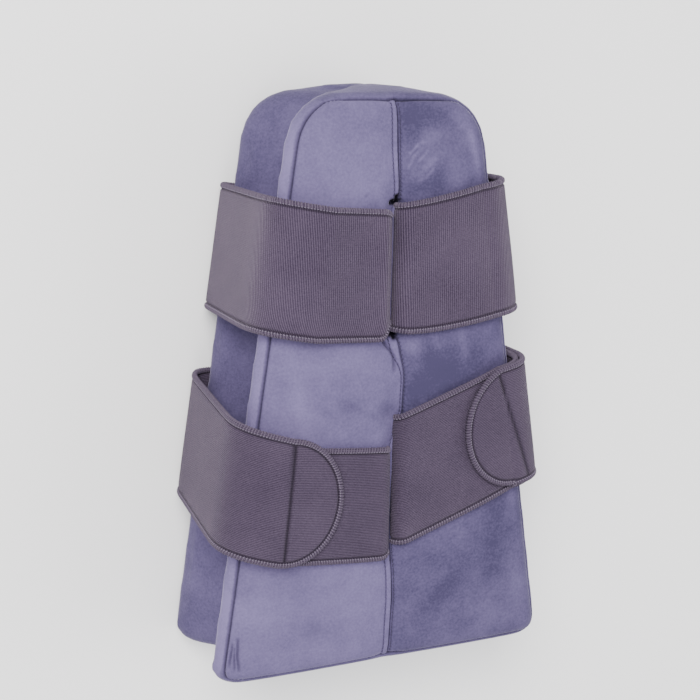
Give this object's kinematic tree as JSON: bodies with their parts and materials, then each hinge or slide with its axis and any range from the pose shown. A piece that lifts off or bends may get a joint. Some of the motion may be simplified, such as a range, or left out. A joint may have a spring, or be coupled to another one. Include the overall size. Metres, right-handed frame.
{
  "type": "hip abduction pillow",
  "caption": "Wedge-shaped foam pillow in velour with a hollow down each side for a leg and wide knitted straps round it.",
  "frame": {"origin": "middle of the box round the pillow and its straps, on the surface that it lies on", "axes": "+Y towards the narrow end, +Z out of the front face, +X to the right seen from the front"},
  "size_m": [0.2816, 0.4532, 0.1412],
  "materials": {
    "velour": "short soft pile",
    "knit": "thick ribbed knit"
  },
  "bodies": {
    "root": {"cushion": "velour", "strap_upper_left": "knit", "strap_upper_right": "knit", "strap_lower_left_inner": "knit", "strap_lower_right_inner": "knit", "strap_lower_left_outer": "knit", "strap_lower_right_outer": "knit"}
  },
  "joints": []
}
